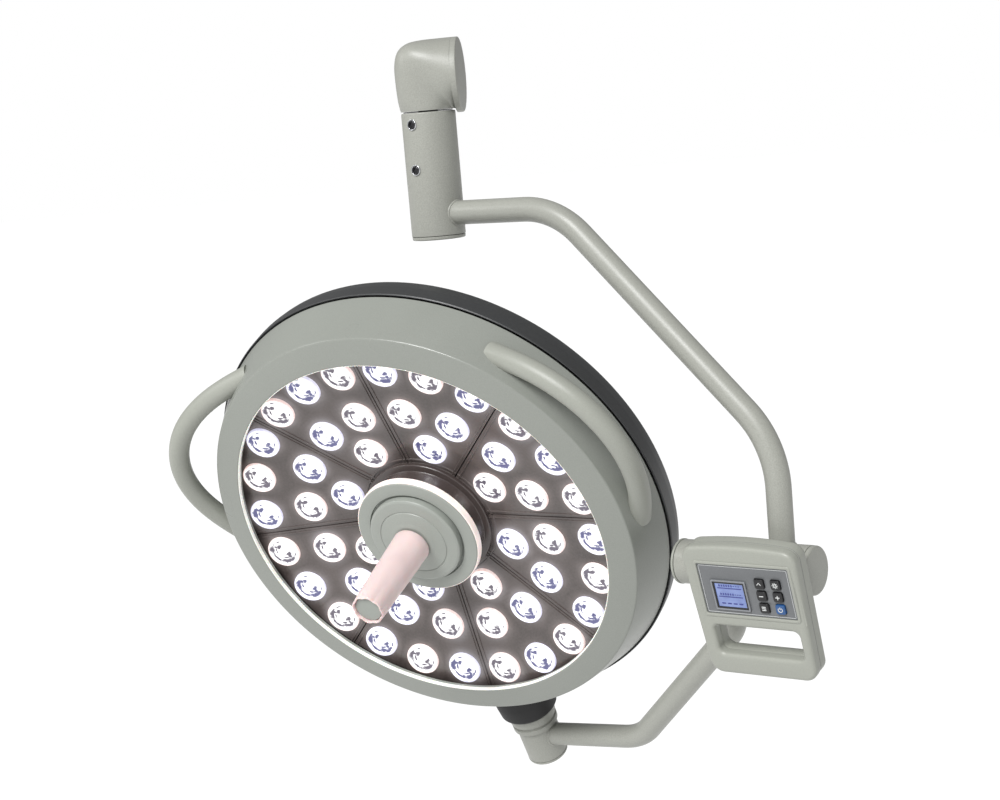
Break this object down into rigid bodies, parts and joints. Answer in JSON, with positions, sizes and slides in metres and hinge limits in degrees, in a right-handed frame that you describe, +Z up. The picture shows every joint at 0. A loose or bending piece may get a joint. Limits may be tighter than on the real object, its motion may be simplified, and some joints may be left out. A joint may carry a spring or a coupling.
{
  "type": "operating light",
  "caption": "Dental operating light: round LED lamp head with grip bars and a central handle, hung in a gimbal of two bent-tube yokes with a control panel.",
  "frame": {"origin": "centre of the arm flange's flat face, where the ceiling arm bolts on", "axes": "+Z up along the swivel axis, +X along the tilt pivot from the sleeve to the barrel, -Y out of the front of the control panel at rest"},
  "size_m": [0.6704, 0.3284, 0.7757],
  "materials": {
    "arm_paint": "satin warm grey powder coat",
    "bezel_paint": "satin grey-green paint",
    "cover_paint": "matt charcoal paint",
    "panel_plastic": "matt moulded",
    "label_film": "silver-grey printed film",
    "black_plastic": "matt",
    "blue_plastic": "glossy",
    "screen": "lit liquid crystal window",
    "lens_plastic": "glossy smoked lens plate",
    "hub_plastic": "matt",
    "handle_plastic": "autoclavable plastic",
    "board": "solder mask",
    "steel": "turned",
    "bronze": "sintered bronze",
    "aluminium": "milled",
    "nylon": "moulded nylon"
  },
  "bodies": {
    "knuckle": {"knuckle_shell": "arm_paint", "arm_flange": "arm_paint", "swivel_spindle": "steel"},
    "upper_yoke": {"thrust_washer": "nylon", "sleeve": "arm_paint", "sleeve_cap": "arm_paint", "swivel_bush_upper": "bronze", "swivel_bush_lower": "bronze", "stop_screw": "steel", "brake_screw": "steel", "brake_shoe": "bronze", "upper_arm_tube": "arm_paint", "pivot_housing": "arm_paint", "pivot_housing_cap": "arm_paint", "pivot_bush": "bronze"},
    "lower_yoke": {"pivot_hub": "arm_paint", "pivot_hub_cap": "arm_paint", "pivot_shaft": "steel", "friction_washer": "nylon", "shaft_nut": "steel", "lower_arm_tube": "arm_paint", "head_socket": "arm_paint", "socket_cap": "arm_paint", "socket_collar": "arm_paint", "panel_saddle": "arm_paint", "panel_back_shell": "panel_plastic", "panel_front_shell": "panel_plastic", "panel_overlay": "label_film", "display_bezel": "black_plastic", "display_glass": "screen", "control_board": "board"},
    "key_up_cap": {"key_up": "black_plastic"},
    "key_brighter_cap": {"key_brighter": "black_plastic"},
    "key_colder_cap": {"key_colder": "black_plastic"},
    "key_warmer_cap": {"key_warmer": "black_plastic"},
    "key_mode_cap": {"key_mode": "black_plastic"},
    "key_power_cap": {"key_power": "blue_plastic"},
    "head": {"front_bezel": "bezel_paint", "rear_cover": "cover_paint", "head_frame": "aluminium", "head_boot": "nylon", "head_stub": "steel", "side_handle_left": "arm_paint", "side_handle_right": "arm_paint", "lens_plate_1": "lens_plastic", "lens_plate_2": "lens_plastic", "lens_plate_3": "lens_plastic", "lens_plate_4": "lens_plastic", "lens_plate_5": "lens_plastic", "lens_plate_6": "lens_plastic", "lens_plate_7": "lens_plastic", "lens_plate_8": "lens_plastic", "led_board": "aluminium", "heat_sink": "aluminium", "led_driver": "black_plastic", "hub_column": "black_plastic", "hub_disc": "hub_plastic", "hub_ring": "hub_plastic", "handle_post": "steel"},
    "grip": {"sterile_handle": "handle_plastic"}
  },
  "joints": [
    {"name": "swivel", "type": "hinge", "parent": "knuckle", "child": "upper_yoke", "pos_m": [-0.03118, -0.018, -0.1], "axis": [0, 0, 1], "range_deg": [-170, 170]},
    {"name": "yoke_tilt", "type": "hinge", "parent": "upper_yoke", "child": "lower_yoke", "pos_m": [0.30232, -0.018, -0.4735], "axis": [1, 0, 0], "range_deg": [-25, 110]},
    {"name": "head_turn", "type": "hinge", "parent": "lower_yoke", "child": "head", "pos_m": [-0.03768, 0.08686, -0.70044], "axis": [0, 0.4195, -0.9078], "range_deg": [-160, 160]},
    {"name": "handle_twist", "type": "hinge", "parent": "head", "child": "grip", "pos_m": [-0.02272, -0.13167, -0.46323], "axis": [0.1495, -0.8976, -0.4147], "range_deg": [0, 45]},
    {"name": "key_up_press", "type": "slide", "parent": "lower_yoke", "child": "key_up_cap", "axis": [0, 0.9588, 0.284], "range_m": [0, 0.0008], "stiffness_N_per_m": 600, "springref_m": -0.0005},
    {"name": "key_brighter_press", "type": "slide", "parent": "lower_yoke", "child": "key_brighter_cap", "axis": [0, 0.9588, 0.284], "range_m": [0, 0.0008], "stiffness_N_per_m": 600, "springref_m": -0.0005},
    {"name": "key_colder_press", "type": "slide", "parent": "lower_yoke", "child": "key_colder_cap", "axis": [0, 0.9588, 0.284], "range_m": [0, 0.0008], "stiffness_N_per_m": 600, "springref_m": -0.0005},
    {"name": "key_warmer_press", "type": "slide", "parent": "lower_yoke", "child": "key_warmer_cap", "axis": [0, 0.9588, 0.284], "range_m": [0, 0.0008], "stiffness_N_per_m": 600, "springref_m": -0.0005},
    {"name": "key_mode_press", "type": "slide", "parent": "lower_yoke", "child": "key_mode_cap", "axis": [0, 0.9588, 0.284], "range_m": [0, 0.0008], "stiffness_N_per_m": 600, "springref_m": -0.0005},
    {"name": "key_power_press", "type": "slide", "parent": "lower_yoke", "child": "key_power_cap", "axis": [0, 0.9588, 0.284], "range_m": [0, 0.0008], "stiffness_N_per_m": 600, "springref_m": -0.0005}
  ]
}
